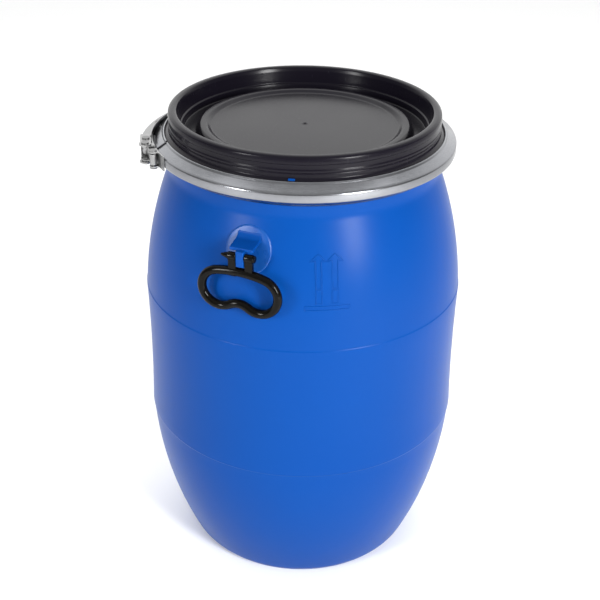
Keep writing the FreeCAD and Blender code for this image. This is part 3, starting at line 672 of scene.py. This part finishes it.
def steel_channel(crest, lip, web, sheet, rounding, curl):
    """The closed section of a V channel with a flat web and lips turned up by curl."""
    drop = (crest - lip) * SLOPE
    upright = sheet * math.hypot(1, SLOPE)
    inner = sheet * SLOPE - upright
    return [
        (lip, MIDDLE + web + drop, 0.5),
        (lip + 0.5, MIDDLE + web + drop + curl, 0.7),
        (lip + 1.9, MIDDLE + web + drop - 1.2 * SLOPE + curl, 0.9),
        (lip + 3.0, MIDDLE + web + drop - 3.0 * SLOPE, 0.6),
        (crest - 3.0, MIDDLE + web + 3.0 * SLOPE, 0),
        (crest, MIDDLE + web, rounding),
        (crest, MIDDLE - web, rounding),
        (crest - 3.0, MIDDLE - web - 3.0 * SLOPE, 0),
        (lip + 3.0, MIDDLE - web - drop + 3.0 * SLOPE, 0.6),
        (lip + 1.9, MIDDLE - web - drop + 1.2 * SLOPE - curl, 0.9),
        (lip + 0.5, MIDDLE - web - drop - curl, 0.7),
        (lip, MIDDLE - web - drop, 0.5),
        (lip, MIDDLE - web - drop + upright, 0.4),
        (crest - sheet, MIDDLE - web - inner, rounding / 2),
        (crest - sheet, MIDDLE + web + inner, rounding / 2),
        (lip, MIDDLE + web + drop - upright, 0.4),
    ]


def finished(piece):
    """Applies a piece's stack, so that it can be turned or placed."""
    bpy.context.view_layer.update()
    evaluated = piece.evaluated_get(bpy.context.evaluated_depsgraph_get())
    mesh = bpy.data.meshes.new_from_object(evaluated)
    mesh.name = piece.name
    piece.modifiers.clear()
    piece.data = mesh
    return piece


def closed_ends(piece):
    """Fills the open ends that a part turn leaves, and points every face outwards."""
    shape = bmesh.new()
    shape.from_mesh(piece.data)
    rims = [edge for edge in shape.edges if edge.is_boundary]
    caps = bmesh.ops.holes_fill(shape, edges=rims)["faces"]
    bmesh.ops.recalc_face_normals(shape, faces=shape.faces)
    for cap in caps:
        cap.smooth = False
    shape.to_mesh(piece.data)
    shape.free()
    return piece


band = turned(
    "clamp_band",
    steel_channel(CREST, LIP, web=5.0, sheet=STEEL, rounding=1.6, curl=0.9),
    steps=359,
    angle=math.radians(360 - SPLIT_ANGLE),
)
closed_ends(finished(band))
band.data.transform(Matrix.Rotation(math.radians(SPLIT_BEARING + SPLIT_ANGLE / 2 - 90), 4, "Z"))

rolled_steel = bpy.data.node_groups.new("rolled_steel", "ShaderNodeTree")
for title, kind in (("Vector", "NodeSocketVector"), ("Roughness", "NodeSocketFloat")):
    rolled_steel.interface.new_socket(title, in_out="INPUT", socket_type=kind)
for title in ("Tone", "Roughness", "Height"):
    rolled_steel.interface.new_socket(title, in_out="OUTPUT", socket_type="NodeSocketFloat")
nodes, links = rolled_steel.nodes, rolled_steel.links
way_in, way_out = add(nodes, "NodeGroupInput"), add(nodes, "NodeGroupOutput")
spangle = add(nodes, "ShaderNodeTexVoronoi", sockets={"Scale": 210.0, "Randomness": 1.0})
along = add(nodes, "ShaderNodeMapping", sockets={"Scale": (1.0, 1.0, 14.0)})
draw_lines = add(nodes, "ShaderNodeTexNoise", sockets={"Scale": 120.0, "Detail": 5.0})
stain = add(nodes, "ShaderNodeTexNoise", sockets={"Scale": 22.0, "Detail": 4.0})
for texture in (spangle, along, stain):
    links.new(way_in.outputs["Vector"], texture.inputs["Vector"])
links.new(along.outputs["Vector"], draw_lines.inputs["Vector"])
grey = add(nodes, "ShaderNodeSeparateColor")
links.new(spangle.outputs["Color"], grey.inputs["Color"])
flake = sums(nodes, links, "MULTIPLY", grey.outputs[0], 0.15)
streak = sums(nodes, links, "MULTIPLY", draw_lines.outputs["Fac"], 0.60)
dull = sums(nodes, links, "MULTIPLY", stain.outputs["Fac"], 0.45)
tone = sums(nodes, links, "ADD", sums(nodes, links, "ADD", flake, streak), dull)
links.new(tone, way_out.inputs["Tone"])
wander = sums(nodes, links, "SUBTRACT", tone, 0.55)
wander = sums(nodes, links, "MULTIPLY", wander, 0.14)
patchy = sums(nodes, links, "ADD", wander, way_in.outputs["Roughness"])
links.new(patchy, way_out.inputs["Roughness"])
links.new(draw_lines.outputs["Fac"], way_out.inputs["Height"])


def galvanised(name, dark, bright, roughness):
    """Zinc coated steel sheet: spangle, drawing lines along the strip and dull patches."""
    made, nodes, links, shader = new_material(name, bright, roughness, 1.0)
    where = add(nodes, "ShaderNodeTexCoord")
    sheet = add(nodes, "ShaderNodeGroup", node_tree=rolled_steel)
    sheet.inputs["Roughness"].default_value = roughness
    links.new(where.outputs["Object"], sheet.inputs["Vector"])
    tone = add(nodes, "ShaderNodeMix", data_type="RGBA")
    tone.inputs["A"].default_value = (*dark, 1)
    tone.inputs["B"].default_value = (*bright, 1)
    links.new(sheet.outputs["Tone"], tone.inputs["Factor"])
    links.new(tone.outputs["Result"], shader.inputs["Base Color"])
    links.new(sheet.outputs["Roughness"], shader.inputs["Roughness"])
    relief = add(nodes, "ShaderNodeBump", sockets={"Strength": 0.15, "Distance": 0.0002})
    links.new(sheet.outputs["Height"], relief.inputs["Height"])
    links.new(relief.outputs["Normal"], shader.inputs["Normal"])
    return made


band_steel = galvanised("galvanised_band", (0.19, 0.195, 0.21), (0.27, 0.275, 0.29), 0.21)
band.data.materials.append(band_steel)
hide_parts("clamp_band")


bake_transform(band)

# ---------------------------------------------------------------- drop handles
# Each is one injection moulding in glossy black plastic: a round bar bent to a bean-shaped loop
# whose dip fits the palm, with two ears that turn on the pin either side of the lug's stem.
PIN_REACH = 198.8
PIN_HEIGHT = 488.6
BAR = 5.2
LOOP_ROUND = 22.3
LOOP_ARCH = 130.0
LOOP_SPREAD = 23.4
LOOP_MIDDLE = 43.6
GRIP_DIP = 20.3
EAR_INNER = 5.2
EAR_WIDTH = 9.2
BARREL = 4.7
PIN = 2.6
arch_sine = LOOP_SPREAD / (LOOP_ARCH - LOOP_ROUND)
arch_cosine = math.sqrt(1 - arch_sine**2)
dip_sine = LOOP_SPREAD / (LOOP_ROUND + GRIP_DIP)
dip_cosine = math.sqrt(1 - dip_sine**2)
arch_end = (LOOP_SPREAD + LOOP_ROUND * arch_sine, LOOP_ROUND * arch_cosine - LOOP_MIDDLE)
dip_end = (LOOP_SPREAD - LOOP_ROUND * dip_sine, -LOOP_MIDDLE - LOOP_ROUND * dip_cosine)
side_end = (LOOP_SPREAD + LOOP_ROUND, -LOOP_MIDDLE)
low_end = (LOOP_SPREAD, -LOOP_MIDDLE - LOOP_ROUND)
right_side = [
    *arc((-arch_end[0], arch_end[1]), arch_end, LOOP_ARCH, -1, 16)[7:],
    arch_end,
    *arc(arch_end, side_end, LOOP_ROUND, -1, 8),
    side_end,
    *arc(side_end, low_end, LOOP_ROUND, -1, 8),
    low_end,
    *arc(low_end, dip_end, LOOP_ROUND, -1, 4),
    dip_end,
    *arc(dip_end, (-dip_end[0], dip_end[1]), GRIP_DIP, 1, 12)[:6],
]
left_side = [(-x, z) for x, z in reversed(right_side[1:-1])]
loop_outline = right_side + left_side
ear_outline = [
    (-3.2, -23.5),
    (3.2, -23.5),
    (2.9, -10),
    (3.1, -3),
    (2.2, 1.5),
    (-2.2, 1.5),
    (-3.1, -3),
    (-2.9, -10),
]
# The loop hangs a little out of square on its loose pin.
LEAN = math.radians(2.8)
lean_sine, lean_cosine = math.sin(LEAN), math.cos(LEAN)
glossy_black = moulded_plastic(
    "glossy_black",
    deep=(0.002, 0.0017, 0.0013),
    pale=(0.0045, 0.0038, 0.003),
    roughness=0.15,
    unevenness=0.10,
    bump=0.25,
    grain_scale=1200,
    wave_scale=40,
    gleam=0.10,
)
for side, half_turn, body in (("front", 0, "handle_f"), ("rear", math.pi, "handle_r")):
    about = Matrix.Rotation(half_turn, 4, "Z")
    stand = about @ Matrix.Translation(Vector((0, -PIN_REACH, PIN_HEIGHT)) * mm)
    along_pin = stand @ Matrix.Rotation(math.pi / 2, 4, "Y")
    loop_line = bpy.data.curves.new(f"handle_loop_{side}", "CURVE")
    loop_line.dimensions = "3D"
    loop_line.bevel_depth = BAR * mm
    loop_line.bevel_resolution = 8
    spline = loop_line.splines.new("POLY")
    spline.points.add(len(loop_outline) - 1)
    spline.use_cyclic_u = True
    for point, (x, z) in zip(spline.points, loop_outline):
        across = x * lean_cosine + z * lean_sine
        height = PIN_HEIGHT + z * lean_cosine - x * lean_sine
        spot = about @ (Vector((across, -PIN_REACH, height)) * mm)
        point.co = (*spot, 1)
    loop = new_object(f"handle_loop_{side}", loop_line)
    points, faces = [], []
    count = len(ear_outline)
    for inner in (-EAR_INNER - EAR_WIDTH, EAR_INNER):
        base = len(points)
        for x in (inner, inner + EAR_WIDTH):
            places = [Vector((x, -PIN_REACH + y, PIN_HEIGHT + z)) for y, z in ear_outline]
            points += [about @ (place * mm) for place in places]
        faces.append(tuple(base + n for n in reversed(range(count))))
        faces.append(tuple(base + count + n for n in range(count)))
        for n in range(count):
            after = (n + 1) % count
            faces.append((base + n, base + after, base + count + after, base + count + n))
    ear_pair = mesh_of(f"handle_ears_{side}", points, faces=faces)
    softened(ear_pair, 0.8)
    barrels = turned(
        f"handle_barrels_{side}",
        [
            (PIN + 0.1, 14.9, 0.3),
            (BARREL, 14.9, 0.7),
            (BARREL, EAR_INNER, 0.7),
            (PIN + 0.1, EAR_INNER, 0.3),
        ],
        steps=48,
    )
    stack(barrels, "MIRROR", "both_ears", use_axis=(False, False, True), merge_threshold=1e-6)
    finished(barrels)
    barrels.data.transform(along_pin)
    for piece in (loop, ear_pair, barrels):
        piece.data.materials.append(glossy_black)
        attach(piece, body)
    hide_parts(f"handle_{side}")

    # The snap pin is pushed in from one side: a split barb at one end, a flat head at the other.
    pin = turned(
        f"snap_pin_{side}",
        [
            (0, 17.2, 0),
            (4.0, 17.2, 0.6),
            (4.0, 15.1, 0.4),
            (PIN, 15.1, 0.2),
            (PIN, -15.1, 0.2),
            (3.8, -15.1, 0.3),
            (3.5, -16.6, 0.3),
            (1.2, -23.3, 0.6),
            (0, -23.5, 0),
        ],
        steps=40,
        closed=False,
    )
    finished(pin)
    pin.data.transform(along_pin)
    pin.data.materials.append(glossy_black)
    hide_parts(f"handle_pin_{side}")
    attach(pin, "drum")

# ---------------------------------------------------------------- lever closure
# Pressed and rolled galvanised parts: two brackets welded on the band's ends, the lever, and the
# link between them, joined by rivets.
lever_steel = galvanised("galvanised_lever", (0.20, 0.20, 0.20), (0.36, 0.36, 0.36), 0.36)
rivet_steel = galvanised("rivet_steel", (0.12, 0.12, 0.12), (0.24, 0.24, 0.24), 0.40)
for steel, names in (
    (lever_steel, ("lever", "lever_bracket", "link_bracket", "toggle_link")),
    (rivet_steel, ("lever_pivot_rivets", "link_anchor_rivets", "link_rivet")),
):
    for name in names:
        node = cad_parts[name]
        node.data.materials.clear()
        node.data.materials.append(steel)
